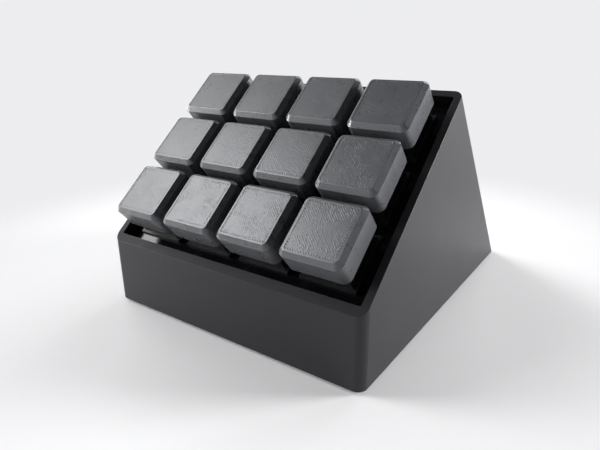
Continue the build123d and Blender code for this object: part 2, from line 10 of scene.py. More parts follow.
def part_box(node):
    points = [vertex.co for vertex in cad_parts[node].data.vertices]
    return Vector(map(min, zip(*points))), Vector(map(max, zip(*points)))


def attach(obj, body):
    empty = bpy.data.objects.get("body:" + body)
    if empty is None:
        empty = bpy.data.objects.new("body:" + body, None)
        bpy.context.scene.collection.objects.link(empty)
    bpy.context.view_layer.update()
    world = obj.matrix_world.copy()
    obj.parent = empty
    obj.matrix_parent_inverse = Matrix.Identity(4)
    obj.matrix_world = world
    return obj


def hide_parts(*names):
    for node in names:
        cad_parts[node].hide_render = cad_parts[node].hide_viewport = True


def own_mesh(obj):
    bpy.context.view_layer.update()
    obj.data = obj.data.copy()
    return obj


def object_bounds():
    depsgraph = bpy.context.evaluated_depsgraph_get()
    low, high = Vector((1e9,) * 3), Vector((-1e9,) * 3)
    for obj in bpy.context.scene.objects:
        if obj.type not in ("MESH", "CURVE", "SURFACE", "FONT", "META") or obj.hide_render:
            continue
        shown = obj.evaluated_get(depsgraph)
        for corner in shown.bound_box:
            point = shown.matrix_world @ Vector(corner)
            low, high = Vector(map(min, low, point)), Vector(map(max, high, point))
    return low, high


bl_info = {
    "name": "Macro keypad",
    "version": (1, 0, 0),
    "blender": (4, 5, 0),
    "location": "View3D > Sidebar > Keypad",
    "description": "Dresses a wedge-shaped macro keypad in printed plastic and sets it on a pale stage",
    "category": "Object",
}

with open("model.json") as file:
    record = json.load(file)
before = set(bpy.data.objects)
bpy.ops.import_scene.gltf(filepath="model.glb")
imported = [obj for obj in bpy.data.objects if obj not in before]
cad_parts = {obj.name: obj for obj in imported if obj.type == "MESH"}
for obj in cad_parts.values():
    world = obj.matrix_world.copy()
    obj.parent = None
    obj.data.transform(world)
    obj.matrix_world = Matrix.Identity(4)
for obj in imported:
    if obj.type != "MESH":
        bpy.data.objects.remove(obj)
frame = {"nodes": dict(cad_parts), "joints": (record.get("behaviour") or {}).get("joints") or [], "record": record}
NODES = frame["nodes"]
CAD_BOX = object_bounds()

MM = 0.001
CASE_BODY = "case"
# Points closer than this become one, and so do faces that meet at less than this angle
MERGE_DISTANCE = 0.002 * MM
FLAT_ANGLE = radians(1.0)
# Edges that turn more than this stay sharp
SHARP_ANGLE = radians(24.0)

# The deck's own axes: across it to the right, up its slope, and square out of it
OUT = -Vector(frame["joints"][0]["axis"]).normalized()
ACROSS = Vector((1, 0, 0))
ALONG = OUT.cross(ACROSS)
DECK_TURN = Matrix((ACROSS, ALONG, OUT)).transposed()


def deck_box(node):
    """Lowest and highest corner of a CAD node along the deck's own axes."""
    places = [DECK_TURN.transposed() @ vertex.co for vertex in NODES[node].data.vertices]
    low = Vector([min(place[i] for place in places) for i in range(3)])
    high = Vector([max(place[i] for place in places) for i in range(3)])
    return low, high


# Settings that a user would change

class KeypadCaps(bpy.types.PropertyGroup):
    """Sizes and colour of the printed key caps."""

    bevel: FloatProperty(
        name="Bevel", description="Width of the sloping top edge", default=1.15 * MM, unit="LENGTH"
    )
    corner: FloatProperty(
        name="Corner", description="Radius of the upright corners", default=2.0 * MM, unit="LENGTH"
    )
    wall: FloatProperty(
        name="Wall", description="Thickness of the cap's sides", default=1.4 * MM, unit="LENGTH"
    )
    roof: FloatProperty(
        name="Roof", description="Thickness of the cap's top", default=1.8 * MM, unit="LENGTH"
    )
    boss: FloatProperty(
        name="Boss", description="Diameter of the boss that grips the stem", default=5.5 * MM, unit="LENGTH"
    )
    boss_lift: FloatProperty(
        name="Boss lift", description="Boss above the cap's lower edge", default=0.5 * MM, unit="LENGTH"
    )
    cross_span: FloatProperty(
        name="Cross span", description="Length of the cross in the boss", default=4.16 * MM, unit="LENGTH"
    )
    cross_arm: FloatProperty(
        name="Cross arm", description="Width of the cross in the boss", default=1.36 * MM, unit="LENGTH"
    )
    layers: IntProperty(
        name="Layers", description="Printed layers in the sloping edge", default=4, min=1
    )
    line: FloatProperty(
        name="Line", description="Width of one printed line", default=0.5 * MM, unit="LENGTH"
    )
    groove: FloatProperty(
        name="Groove", description="Depth inside the line round the top", default=0.05 * MM, unit="LENGTH"
    )
    dot: FloatProperty(
        name="Dot", description="Spacing of the pits beside the line round the top",
        default=0.7 * MM, unit="LENGTH"
    )
    foot: FloatProperty(
        name="Foot", description="Rounding of the lower edge", default=0.1 * MM, unit="LENGTH"
    )
    colour: FloatVectorProperty(
        name="Colour", description="Grey of the caps", subtype="COLOR",
        default=(0.087, 0.0893, 0.0955), min=0, max=1
    )


class KeypadCase(bpy.types.PropertyGroup):
    """Sizes and colours of the printed case, plate and base."""

    edge: FloatProperty(
        name="Edge", description="Rounding of the case's edges", default=0.07 * MM, unit="LENGTH"
    )
    layer: FloatProperty(
        name="Layer", description="Height of one printed layer", default=0.28 * MM, unit="LENGTH"
    )
    colour: FloatVectorProperty(
        name="Colour", description="Black of the case", subtype="COLOR",
        default=(0.012, 0.0118, 0.0136), min=0, max=1
    )
    plate_colour: FloatVectorProperty(
        name="Plate colour", description="Black of the glossy plate", subtype="COLOR",
        default=(0.006, 0.006, 0.008), min=0, max=1
    )
    base_colour: FloatVectorProperty(
        name="Base colour", description="Black of the base cover", subtype="COLOR",
        default=(0.022, 0.022, 0.023), min=0, max=1
    )
    foot_colour: FloatVectorProperty(
        name="Foot colour", description="Grey of the rubber feet", subtype="COLOR",
        default=(0.035, 0.035, 0.036), min=0, max=1
    )


class KeypadInside(bpy.types.PropertyGroup):
    """Spring sizes, and colours of the switches and the boards."""

    spring_wire: FloatProperty(
        name="Spring wire", description="Diameter of the springs' wire", default=0.3 * MM, unit="LENGTH"
    )
    spring_turns: IntProperty(
        name="Spring turns", description="Turns of each spring", default=12, min=1
    )
    housing: FloatVectorProperty(
        name="Housing", description="Moulded switch housings", subtype="COLOR",
        default=(0.012, 0.012, 0.013), min=0, max=1
    )
    stem: FloatVectorProperty(
        name="Stem", description="Moulded switch stems", subtype="COLOR",
        default=(0.12, 0.055, 0.028), min=0, max=1
    )
    laminate: FloatVectorProperty(
        name="Laminate", description="Solder mask of the boards", subtype="COLOR",
        default=(0.006, 0.05, 0.022), min=0, max=1
    )
    chip: FloatVectorProperty(
        name="Chip", description="Moulded chips and diodes", subtype="COLOR",
        default=(0.016, 0.016, 0.017), min=0, max=1
    )
    connector: FloatVectorProperty(
        name="Connector", description="Ribbon connectors", subtype="COLOR",
        default=(0.62, 0.58, 0.5), min=0, max=1
    )
    ribbon: FloatVectorProperty(
        name="Ribbon", description="Ribbon cable", subtype="COLOR", default=(0.3, 0.3, 0.31), min=0, max=1
    )
    steel: FloatVectorProperty(
        name="Steel", description="Springs, screws and socket", subtype="COLOR",
        default=(0.56, 0.56, 0.57), min=0, max=1
    )
    brass: FloatVectorProperty(
        name="Brass", description="Contacts and inserts", subtype="COLOR",
        default=(0.7, 0.5, 0.2), min=0, max=1
    )


class KeypadStage(bpy.types.PropertyGroup):
    """Floor, lights and camera."""

    floor_radius: FloatProperty(
        name="Floor radius", description="Reach of the floor", default=6.0, unit="LENGTH"
    )
    floor_colour: FloatVectorProperty(
        name="Floor colour", description="Pale paper", subtype="COLOR",
        default=(0.86, 0.86, 0.865), min=0, max=1
    )
    backdrop: FloatVectorProperty(
        name="Backdrop", description="Pale surroundings as seen", subtype="COLOR",
        default=(0.85, 0.85, 0.868), min=0, max=1
    )
    ambient: FloatVectorProperty(
        name="Ambient", description="Light from the surroundings", subtype="COLOR",
        default=(0.03, 0.03, 0.034), min=0, max=1
    )
    glow: FloatProperty(
        name="Glow", description="Share of the backdrop's white added to the floor as seen",
        default=0.12, min=0
    )
    light: FloatProperty(name="Light", description="Level of all the soft lights", default=1.0, min=0)
    camera_place: FloatVectorProperty(
        name="Camera place", description="Where the camera stands", subtype="TRANSLATION", unit="LENGTH",
        default=(0.085911, -0.135809, 0.075375)
    )
    camera_turn: FloatVectorProperty(
        name="Camera turn", description="How the camera is turned", subtype="EULER",
        default=(radians(70.197), radians(0.463), radians(34.985))
    )
    lens: FloatProperty(name="Lens", description="Focal length in millimetres", default=31.106, min=1)


# Materials

class Value:
    """A number from a shader socket. Each operator adds a Math node and gives its result."""

    def __init__(self, finish, socket):
        self.finish = finish
        self.socket = socket

    def maths(self, operation, *others):
        """Result of a Math node that takes this number and others."""
        inputs = dict(enumerate((self, *others)))
        node = self.finish.node("Math", {"operation": operation}, inputs)
        return self.finish.value(node, "Value")

    def __add__(self, other):
        return self.maths("ADD", other)

    __radd__ = __add__

    def __sub__(self, other):
        return self.maths("SUBTRACT", other)

    def __rsub__(self, other):
        return -self + other

    def __neg__(self):
        return self.maths("MULTIPLY", -1.0)

    def __mul__(self, other):
        return self.maths("MULTIPLY", other)

    __rmul__ = __mul__

    def __truediv__(self, other):
        return self.maths("DIVIDE", other)

    def __abs__(self):
        return self.maths("ABSOLUTE")

    def __gt__(self, other):
        return self.maths("GREATER_THAN", other)

    def __lt__(self, other):
        return self.maths("LESS_THAN", other)

    def most(self, other):
        """The larger of two numbers."""
        return self.maths("MAXIMUM", other)

    def bead(self):
        """Rounded ridge that repeats with each whole number, 0 in the grooves and 1 on top."""
        part = self.maths("FRACT")
        return 4.0 * part * (1.0 - part)

    def between(self, low, high):
        """Rises smoothly from 0 at low to 1 at high."""
        settings = {"interpolation_type": "SMOOTHSTEP"}
        inputs = {"Value": self, "From Min": low, "From Max": high}
        return self.finish.value(self.finish.node("MapRange", settings, inputs), "Result")


# The Mix node's sockets for colours go by number, because its other sockets share their names
MIX_FACTOR = 0
MIX_FIRST = 6
MIX_SECOND = 7
MIX_RESULT = 2


class Finish:
    """A procedural material around one Principled shader."""

    def __init__(self, name, constants=None):
        self.material = bpy.data.materials.new(name)
        self.material.use_nodes = True
        self.tree = self.material.node_tree
        self.shader = self.tree.nodes["Principled BSDF"]
        for socket, value in (constants or {}).items():
            self.set(socket, value)

    def node(self, kind, settings=None, inputs=None):
        """Adds a node. Its settings come first, then the values or links of its sockets."""
        node = self.tree.nodes.new("ShaderNode" + kind)
        for setting, value in (settings or {}).items():
            setattr(node, setting, value)
        for socket, value in (inputs or {}).items():
            self.feed(node.inputs[socket], value)
        return node

    def feed(self, socket, value):
        """Links a socket, or sets it to a constant."""
        if isinstance(value, Value):
            value = value.socket
        if isinstance(value, bpy.types.NodeSocket):
            self.tree.links.new(value, socket)
        else:
            socket.default_value = value

    def value(self, node, output):
        """A node's output as a number."""
        return Value(self, node.outputs[output])

    def set(self, socket, value):
        """Links or sets one of the shader's own sockets."""
        self.feed(self.shader.inputs[socket], value)

    def place(self):
        """Object coordinates, in metres."""
        return self.node("TexCoord").outputs["Object"]

    def split(self, vector):
        """The three numbers of a vector."""
        node = self.node("SeparateXYZ", inputs={"Vector": vector})
        return [self.value(node, axis) for axis in "XYZ"]

    def along(self, vector, axis):
        """How far a vector goes along an axis."""
        node = self.node("VectorMath", {"operation": "DOT_PRODUCT"}, {0: vector, 1: axis})
        return self.value(node, "Value")

    def noise(self, size, detail=2.0, stretch=(1, 1, 1)):
        """Soft noise from 0 to 1, with features of about the given size in metres."""
        scale = [axis / size for axis in stretch]
        place = self.node("Mapping", {"vector_type": "POINT"}, {"Vector": self.place(), "Scale": scale})
        inputs = {"Vector": place.outputs["Vector"], "Scale": 1.0, "Detail": detail}
        return self.value(self.node("TexNoise", inputs=inputs), "Fac")

    def mix(self, factor, first, second):
        """Colour between two colours."""
        inputs = {MIX_FACTOR: factor, MIX_FIRST: opaque(first), MIX_SECOND: opaque(second)}
        return self.node("Mix", {"data_type": "RGBA"}, inputs).outputs[MIX_RESULT]

    def drift(self, factor, colour, low, high):
        """Colour that goes from a low to a high share of itself."""
        return self.mix(factor, shade(colour, low), shade(colour, high))

    def relief(self, height, depth, strength=1.0):
        """Bump of a real depth, in metres, into the shader's normal."""
        inputs = {"Height": height, "Distance": depth, "Strength": strength}
        self.set("Normal", self.node("Bump", inputs=inputs).outputs["Normal"])


def opaque(colour):
    """Colour with full alpha, or a socket as it is."""
    return colour if isinstance(colour, bpy.types.NodeSocket) else (*colour, 1.0)


def shade(colour, factor):
    """A colour made lighter or darker."""
    return tuple(factor * part for part in colour)


# Cap print: size of each pattern, and the range of its noise that shows
WEAR_SIZE = 2.6 * MM
WEAR_RANGE = (0.3, 0.6)
BREAK_SIZE = 0.7 * MM
BREAK_RANGE = (0.3, 0.7)
PATCH_SIZE = 4.2 * MM
PATCH_RANGE = (0.35, 0.7)
PATCH_LEAST = 0.3
BLOTCH_SIZE = 3.0 * MM
# Pits: place and reach in printed lines from the top's edge, and the part of their spacing that they take
PIT_PLACE = 1.5
PIT_REACH = 0.4
PIT_RANGE = (0.8, 0.3)
# How much dashes and pits show, and how light or dark they are against the cap's grey: the lighter dashes are
# painted highlight on the fill's ridges, the darker pits painted shade in their hollows
DASH_HIGHLIGHT_SHARE = 0.3
DASH_PAINTED_HIGHLIGHT = 1.9
PIT_SHADE_SHARE = 0.85
PIT_PAINTED_SHADE = 0.15
# Depths of pits and of layers against the height of the dashes
PIT_DEPTH = 1.6
LAYER_DEPTH = 0.3
TOP_MARGIN = 0.02 * MM
# Roughness of the caps, and what blotches, dashes and pits add to it
CAP_ROUGHNESS = 0.25
BLOTCH_ROUGHNESS = 0.06
DASH_ROUGHNESS = 0.1
PIT_ROUGHNESS = 0.2
CAP_RELIEF = 0.022 * MM
CAP_GLOSS = {"Specular IOR Level": 0.8, "Specular Tint": (0.96, 0.975, 1.0, 1.0)}
# Attribute that holds a cap's own upright coordinates, before it is set on the deck
PRINT_PLACE = "print_place"


def cap_finish(sizes, width, height):
    """Printed grey plastic: layers on the sides, a diagonal fill on top with painted highlight on its lines, and
    pits where its lines turn, with painted shade in them.
    """
    finish = Finish("keycap_plastic", CAP_GLOSS)
    place = finish.node("Attribute", {"attribute_name": PRINT_PLACE})
    x, y, z = finish.split(place.outputs["Vector"])
    on_top = z > height - sizes.groove - TOP_MARGIN
    across, along = abs(x), abs(y)
    from_edge = width / 2 - sizes.bevel - across.most(along)

    beside_x = across > along
    run = beside_x * y + (1.0 - beside_x) * x
    worn = finish.noise(WEAR_SIZE, detail=1.0).between(*WEAR_RANGE)
    turns = (abs(from_edge - PIT_PLACE * sizes.line) < PIT_REACH * sizes.line) * on_top
    pits = turns * (run / sizes.dot).bead().between(*PIT_RANGE) * worn

    fill = (from_edge > sizes.line) * on_top
    lines = ((x + y) * (sqrt(0.5) / sizes.line)).bead()
    broken = finish.noise(BREAK_SIZE, detail=1.0).between(*BREAK_RANGE)
    patch = PATCH_LEAST + (1.0 - PATCH_LEAST) * finish.noise(PATCH_SIZE, detail=1.0).between(*PATCH_RANGE)
    dashes = lines * broken * patch * fill
    layers = (z / (sizes.bevel / sizes.layers)).bead() * (1.0 - on_top)

    blotch = finish.noise(BLOTCH_SIZE)
    tint = finish.drift(blotch, sizes.colour, low=0.92, high=1.08)
    # Painted highlight: the fill's lines are lightened in colour, standing in for light on their ridges
    tint = finish.mix(dashes * DASH_HIGHLIGHT_SHARE, tint, shade(sizes.colour, DASH_PAINTED_HIGHLIGHT))
    # Painted shade: the pits are darkened in colour, standing in for shade in their hollows
    tint = finish.mix(pits * PIT_SHADE_SHARE, tint, shade(sizes.colour, PIT_PAINTED_SHADE))
    finish.set("Base Color", tint)
    roughness = CAP_ROUGHNESS + BLOTCH_ROUGHNESS * blotch + DASH_ROUGHNESS * dashes + PIT_ROUGHNESS * pits
    finish.set("Roughness", roughness)
    finish.relief(dashes - PIT_DEPTH * pits + LAYER_DEPTH * layers, CAP_RELIEF)
    return finish.material


# Case print: size of each pattern
STREAK_SIZE = 1.0 * MM
STREAK_STRETCH = (0.03, 0.03, 3.0)
CLOUD_SIZE = 14.0 * MM
GRAIN_SIZE = 0.3 * MM
# Case rim: how squarely a face points out of the deck to count as rim, and the share and darkness of its painted
# shade
RIM_RANGE = (0.9, 0.97)
RIM_PAINTED_SHADE_SHARE = 0.6
RIM_PAINTED_SHADE = 0.4
# Height of the layers on the rim and on the other faces, and of grain and streaks, in shares of the relief
RIM_STEP = 3.0
WALL_STEP = 0.25
GRAIN_DEPTH = 0.1
STREAK_DEPTH = 0.1
# Roughness of the case, and what clouds, streaks and the rim add to it
CASE_ROUGHNESS = 0.32
CLOUD_ROUGHNESS = 0.08
STREAK_ROUGHNESS = 0.05
RIM_ROUGHNESS = 0.35
CASE_RELIEF = 0.02 * MM
CASE_GLOSS = {"Specular IOR Level": 0.43, "Specular Tint": (0.95, 0.93, 1.0, 1.0)}


def case_finish(sizes):
    """Satin black printed plastic, with fine level layers that step on the sloping rim, and painted shade that
    darkens the rim's colour.
    """
    finish = Finish("case_plastic", CASE_GLOSS)
    height = finish.split(finish.place())[2]
    normal = finish.node("NewGeometry").outputs["True Normal"]
    on_rim = finish.along(normal, OUT).between(*RIM_RANGE)
    layers = (height / sizes.layer).bead()
    streak = finish.noise(STREAK_SIZE, stretch=STREAK_STRETCH)
    cloud = finish.noise(CLOUD_SIZE, detail=3.0)
    grain = finish.noise(GRAIN_SIZE, detail=1.0)
    tint = finish.drift(streak, sizes.colour, low=0.92, high=1.08)
    # Painted shade: faces that point out of the deck, the rim, are darkened in colour
    finish.set("Base Color", finish.mix(on_rim * RIM_PAINTED_SHADE_SHARE, tint, shade(sizes.colour, RIM_PAINTED_SHADE)))
    roughness = CASE_ROUGHNESS + CLOUD_ROUGHNESS * cloud + STREAK_ROUGHNESS * streak + RIM_ROUGHNESS * on_rim
    finish.set("Roughness", roughness)
    steps = on_rim * RIM_STEP + (1.0 - on_rim) * WALL_STEP
    finish.relief(layers * steps + GRAIN_DEPTH * grain + STREAK_DEPTH * streak, CASE_RELIEF)
    return finish.material


PLATE_LINE = 0.42 * MM
SMEAR_SIZE = 6.0 * MM
PLATE_ROUGHNESS = 0.1
SMEAR_ROUGHNESS = 0.1
PLATE_RELIEF = 0.002 * MM


def plate_finish(name, colour):
    """Glossy black plate, printed against glass, with faint diagonal lines."""
    finish = Finish(name)
    place = finish.place()
    slant = finish.split(place)[0] + finish.along(place, ALONG)
    lines = (slant * (sqrt(0.5) / PLATE_LINE)).bead()
    smear = finish.noise(SMEAR_SIZE, detail=3.0)
    finish.set("Base Color", finish.drift(smear, colour, low=0.8, high=1.3))
    finish.set("Roughness", PLATE_ROUGHNESS + SMEAR_ROUGHNESS * smear)
    finish.relief(lines, PLATE_RELIEF)
    return finish.material


MOULD_GLOSS = {"Specular IOR Level": 0.45}
# Size of the colour's patches against the grain, and the spread of the roughness over them
PATCH_TO_GRAIN = 12
MOULD_SPREAD = 0.12
MOULD_RELIEF = 0.01 * MM


def moulded_finish(name, colour, roughness, grain_size):
    """Moulded plastic or rubber with a fine grain and slight colour drift."""
    finish = Finish(name, MOULD_GLOSS)
    grain = finish.noise(grain_size)
    cloud = finish.noise(PATCH_TO_GRAIN * grain_size)
    finish.set("Base Color", finish.drift(cloud, colour, low=0.85, high=1.15))
    finish.set("Roughness", roughness - MOULD_SPREAD / 2 + MOULD_SPREAD * cloud)
    finish.relief(grain, MOULD_RELIEF, strength=0.6)
    return finish.material


MARK_SIZE = 0.5 * MM
STAIN_SIZE = 2.5 * MM
METAL_SPREAD = 0.16
METAL_RELIEF = 0.004 * MM


def metal_finish(name, colour, roughness, stretch):
    """Drawn or rolled metal with fine marks along one direction."""
    finish = Finish(name, {"Metallic": 1.0})
    marks = finish.noise(MARK_SIZE, detail=3.0, stretch=stretch)
    stain = finish.noise(STAIN_SIZE)
    finish.set("Base Color", finish.drift(stain, colour, low=0.8, high=1.05))
    finish.set("Roughness", roughness - METAL_SPREAD / 2 + METAL_SPREAD * marks)
    finish.relief(marks, METAL_RELIEF)
    return finish.material


# Tracks of the boards: spacing, how far they wander in spacings, and the part of the spacing that they take
TRACK_PITCH = 1.27 * MM
TRACK_WANDER = 1.5
TRACK_RANGE = (0.75, 0.85)
WANDER_SIZE = 5.0 * MM
WEAVE_SIZE = 0.4 * MM
LAMINATE_ROUGHNESS = 0.28
WEAVE_ROUGHNESS = 0.12
WEAVE_DEPTH = 0.2
LAMINATE_RELIEF = 0.03 * MM


def laminate_finish(name, colour):
    """Circuit board with solder mask over parallel tracks."""
    finish = Finish(name)
    x = finish.split(finish.place())[0]
    wander = finish.noise(WANDER_SIZE, detail=1.0)
    tracks = (x / TRACK_PITCH + TRACK_WANDER * wander).bead().between(*TRACK_RANGE)
    weave = finish.noise(WEAVE_SIZE, detail=1.0)
    finish.set("Base Color", finish.drift(tracks, colour, low=0.8, high=1.6))
    finish.set("Roughness", LAMINATE_ROUGHNESS + WEAVE_ROUGHNESS * weave)
    finish.relief(tracks + WEAVE_DEPTH * weave, LAMINATE_RELIEF)
    return finish.material


def dress(slot, make_finish, colour, **amounts):
    """Makes a finish named after a material slot, and gives it to every CAD node of that slot."""
    nodes = [part["node"] for part in frame["record"]["subparts"] if part["material_slot"] == slot]
    if not nodes:
        raise RuntimeError(f"no node uses the slot {slot}")
    material = make_finish(slot, colour, **amounts)
    for node in nodes:
        NODES[node].data.materials.clear()
        NODES[node].data.materials.append(material)


# Meshes

CORNER_STEPS = 8
EDGE_STEPS = 2
BOSS_SIDES = 32
WIRE_SIDES = 6
TURN_STEPS = 16
# One printed layer of the sloping edge, as shares of its step: inwards, upwards
LAYER_BEAD = ((0.85, 0.95), (1.0, 1.0))


def bevel(bm, edges, radius, steps):
    """Rounds edges."""
    if not edges:
        raise RuntimeError("nothing to round")
    bmesh.ops.bevel(
        bm, geom=edges, offset=radius, offset_type="OFFSET", segments=steps, profile=0.5,
        affect="EDGES", material=-1, clamp_overlap=True,
    )


def inset(bm, face, width):
    """Insets one face evenly."""
    bmesh.ops.inset_region(bm, faces=[face], thickness=width, use_even_offset=True)


def lift(bm, verts, height):
    """Moves vertices up, or down where the height is negative."""
    bmesh.ops.translate(bm, verts=verts, vec=(0, 0, height))


def merge(bm, other):
    """Adds another bmesh to a bmesh, and frees it."""
    mesh = bpy.data.meshes.new("merged")
    other.to_mesh(mesh)
    other.free()
    bm.from_mesh(mesh)
    bpy.data.meshes.remove(mesh)


def deck_place(low, high):
    """Middle of a deck box's lower side, and the matrix that sets an upright piece there."""
    middle = (low + high) / 2
    foot = DECK_TURN @ Vector((middle.x, middle.y, low.z))
    return foot, Matrix.Translation(foot) @ DECK_TURN.to_4x4()


def finished_piece(name, bm, finish, body, place=None):
    """Object from a bmesh, with its place in its mesh, riding on a body."""
    mesh = bpy.data.meshes.new(name)
    bm.to_mesh(mesh)
    bm.free()
    if place is not None:
        local = mesh.attributes.new(PRINT_PLACE, "FLOAT_VECTOR", "POINT")
        spots = [0.0] * (3 * len(mesh.vertices))
        mesh.vertices.foreach_get("co", spots)
        local.data.foreach_set("vector", spots)
        mesh.transform(place)
    mesh.shade_smooth()
    mesh.set_sharp_from_angle(angle=SHARP_ANGLE)
    mesh.materials.append(finish)
    piece = bpy.data.objects.new(name, mesh)
    bpy.context.scene.collection.objects.link(piece)
    even = piece.modifiers.new("even_shading", "WEIGHTED_NORMAL")
    even.keep_sharp = True
    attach(piece, body)
    return piece


def cap_shell(bm, sizes, width, height):
    """Hollow square cap with rounded corners and a stepped sloping top edge."""
    side_height = height - sizes.bevel
    bmesh.ops.create_cube(bm, size=1)
    bmesh.ops.scale(bm, vec=(width, width, side_height), verts=bm.verts)
    lift(bm, bm.verts, side_height / 2)
    upright = [edge for edge in bm.edges if abs(edge.verts[0].co.z - edge.verts[1].co.z) > side_height / 2]
    bevel(bm, upright, sizes.corner, CORNER_STEPS)
    top = max(bm.faces, key=lambda face: face.calc_center_median().z)
    bottom = min(bm.faces, key=lambda face: face.calc_center_median().z)
    step = sizes.bevel / sizes.layers
    for _ in range(sizes.layers):
        inside, above = 0.0, 0.0
        for inwards, upwards in LAYER_BEAD:
            inset(bm, top, (inwards - inside) * step)
            lift(bm, top.verts, (upwards - above) * step)
            inside, above = inwards, upwards
    inset(bm, top, sizes.line - sizes.groove)
    inset(bm, top, sizes.groove)
    lift(bm, top.verts, -sizes.groove)
    foot_edges = list(bottom.edges)
    inset(bm, bottom, sizes.wall)
    ceiling = bmesh.ops.extrude_discrete_faces(bm, faces=[bottom])["faces"][0]
    lift(bm, ceiling.verts, height - sizes.roof)
    bevel(bm, foot_edges, sizes.foot, EDGE_STEPS)


def cap_boss(bm, sizes, ceiling):
    """Round boss under the cap's top, with the cross-shaped hole for the stem."""
    ring = bmesh.ops.create_circle(bm, segments=BOSS_SIDES, radius=sizes.boss / 2)["verts"]
    long, short = sizes.cross_span / 2, sizes.cross_arm / 2
    quarter = ((long, -short), (long, short), (short, short))
    cross = []
    for turn in range(4):
        matrix = Matrix.Rotation(turn * pi / 2, 3, "Z")
        cross += [bm.verts.new(matrix @ Vector((x, y, 0))) for x, y in quarter]
    hole = [bm.edges.new((cross[i - 1], cross[i])) for i in range(len(cross))]
    rim = list({edge for vertex in ring for edge in vertex.link_edges})
    bmesh.ops.bridge_loops(bm, edges=rim + hole)
    for loop in (rim, hole):
        made = bmesh.ops.extrude_edge_only(bm, edges=loop)["geom"]
        raised = [item for item in made if isinstance(item, bmesh.types.BMVert)]
        lift(bm, raised, ceiling - sizes.boss_lift)
    lift(bm, bm.verts, sizes.boss_lift)


def coil_spring(bm, radius, height, sizes):
    """Wire wound round the upright axis, from the ground to a height, with closed ends."""
    wire = sizes.spring_wire / 2
    rise = height - 2 * wire
    steps = sizes.spring_turns * TURN_STEPS
    ring = bmesh.ops.create_circle(bm, segments=WIRE_SIDES, radius=wire)["verts"]
    bmesh.ops.rotate(bm, verts=ring, cent=(0, 0, 0), matrix=Matrix.Rotation(pi / 2, 3, "X"))
    bmesh.ops.translate(bm, verts=ring, vec=(radius - wire, 0, wire))
    bmesh.ops.spin(
        bm, geom=list(bm.edges), cent=(0, 0, 0), axis=(0, 0, 1), dvec=(0, 0, rise / steps),
        angle=2 * pi * sizes.spring_turns, steps=steps,
    )
    bmesh.ops.holes_fill(bm, edges=[edge for edge in bm.edges if edge.is_boundary])
    bmesh.ops.recalc_face_normals(bm, faces=bm.faces)


def softened_copy(node, radius, is_soft):
    """Bmesh of a CAD node with chosen sharp edges rounded."""
    bm = bmesh.new()
    bm.from_mesh(NODES[node].data)
    bmesh.ops.remove_doubles(bm, verts=bm.verts, dist=MERGE_DISTANCE)
    bmesh.ops.dissolve_limit(bm, angle_limit=FLAT_ANGLE, verts=bm.verts, edges=bm.edges)
    sharp = [edge for edge in bm.edges if edge.is_manifold and edge.calc_face_angle() > SHARP_ANGLE]
    bevel(bm, [edge for edge in sharp if is_soft(edge)], radius, EDGE_STEPS)
    return bm


# Operators

class KEYPAD_OT_case_shell(bpy.types.Operator):
    """Makes the printed case with softened rim and lower edges"""

    bl_idname = "keypad.case_shell"
    bl_label = "Case shell"

    def execute(self, context):
        sizes = context.scene.keypad_case
        rim = deck_box("case_shell")[1].z
        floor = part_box("case_shell")[0].z

        def is_soft(edge):
            on_rim = all(abs(vertex.co.dot(OUT) - rim) < MERGE_DISTANCE for vertex in edge.verts)
            on_floor = all(abs(vertex.co.z - floor) < MERGE_DISTANCE for vertex in edge.verts)
            return on_rim or on_floor

        bm = softened_copy("case_shell", sizes.edge, is_soft)
        piece = finished_piece("printed_case", bm, case_finish(sizes), CASE_BODY)
        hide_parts("case_shell")
        return {"FINISHED"}


class KEYPAD_OT_plate(bpy.types.Operator):
    """Finishes the glossy switch plate"""

    bl_idname = "keypad.plate"
    bl_label = "Switch plate"

    def execute(self, context):
        dress("plate_plastic", plate_finish, context.scene.keypad_case.plate_colour)
        return {"FINISHED"}


class KEYPAD_OT_keycaps(bpy.types.Operator):
    """Makes the twelve printed key caps"""

    bl_idname = "keypad.keycaps"
    bl_label = "Key caps"

    def execute(self, context):
        sizes = context.scene.keypad_caps
        finish = None
        for joint in frame["joints"]:
            body = joint["child"]
            key = body.removeprefix("key_")
            low, high = deck_box(f"keycap_{key}")
            width, height = high.x - low.x, high.z - low.z
            finish = finish or cap_finish(sizes, width, height)
            bm = bmesh.new()
            cap_shell(bm, sizes, width, height)
            boss = bmesh.new()
            cap_boss(boss, sizes, height - sizes.roof)
            merge(bm, boss)
            bmesh.ops.recalc_face_normals(bm, faces=bm.faces)
            place = deck_place(low, high)[1]
            piece = finished_piece(f"cap_{key}", bm, finish, body, place)
            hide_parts(f"keycap_{key}")
        return {"FINISHED"}


class KEYPAD_OT_base(bpy.types.Operator):
    """Finishes the base cover, its screws, inserts and feet"""

    bl_idname = "keypad.base"
    bl_label = "Base"

    def execute(self, context):
        case, inside = context.scene.keypad_case, context.scene.keypad_inside
        dress("base_plastic", moulded_finish, case.base_colour, roughness=0.5, grain_size=0.5 * MM)
        dress("foot_rubber", moulded_finish, case.foot_colour, roughness=0.8, grain_size=0.2 * MM)
        dress("screw_steel", metal_finish, inside.steel, roughness=0.35, stretch=(1, 1, 4))
        dress("insert_brass", metal_finish, inside.brass, roughness=0.3, stretch=(1, 1, 4))
        return {"FINISHED"}


class KEYPAD_OT_switches(bpy.types.Operator):
    """Finishes the housings, stems and contacts of the key switches"""

    bl_idname = "keypad.switches"
    bl_label = "Key switches"

    def execute(self, context):
        inside = context.scene.keypad_inside
        dress("switch_plastic", moulded_finish, inside.housing, roughness=0.4, grain_size=0.15 * MM)
        dress("stem_plastic", moulded_finish, inside.stem, roughness=0.35, grain_size=0.15 * MM)
        dress("contact_brass", metal_finish, inside.brass, roughness=0.3, stretch=(6, 1, 1))
        return {"FINISHED"}


